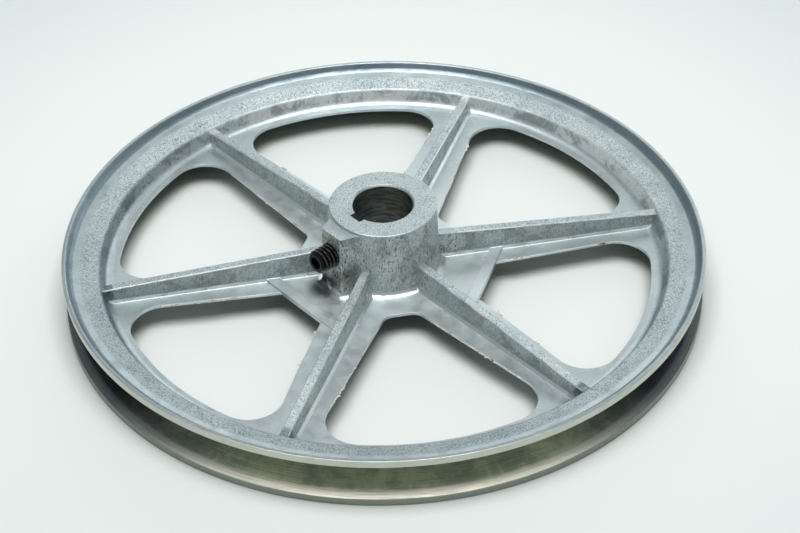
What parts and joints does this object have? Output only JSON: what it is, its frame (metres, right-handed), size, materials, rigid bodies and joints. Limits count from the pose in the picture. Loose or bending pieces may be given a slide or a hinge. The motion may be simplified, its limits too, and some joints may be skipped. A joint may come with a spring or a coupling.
{
  "type": "v belt pulley",
  "caption": "Single-groove V belt pulley: flat rim, ribbed spokes with open windows, keyed bore hub and a side boss holding a socket set screw.",
  "frame": {"origin": "on the bore axis, in the plane half way through the rim's width", "axes": "+Z along the bore axis towards the hub's taller end; +X out along the set screw's axis, through the boss and the keyway"},
  "size_m": [0.2032, 0.2032, 0.0305],
  "materials": {
    "cast_zinc": "as die cast, satin, with darker stains",
    "black_steel": "black oxide, satin"
  },
  "bodies": {
    "pulley": {"pulley_casting": "cast_zinc"},
    "screw": {"set_screw": "black_steel"}
  },
  "joints": [
    {"name": "set_screw_travel", "type": "slide", "parent": "pulley", "child": "screw", "axis": [1, 0, 0], "range_m": [-0.00282, 0.00423]}
  ]
}
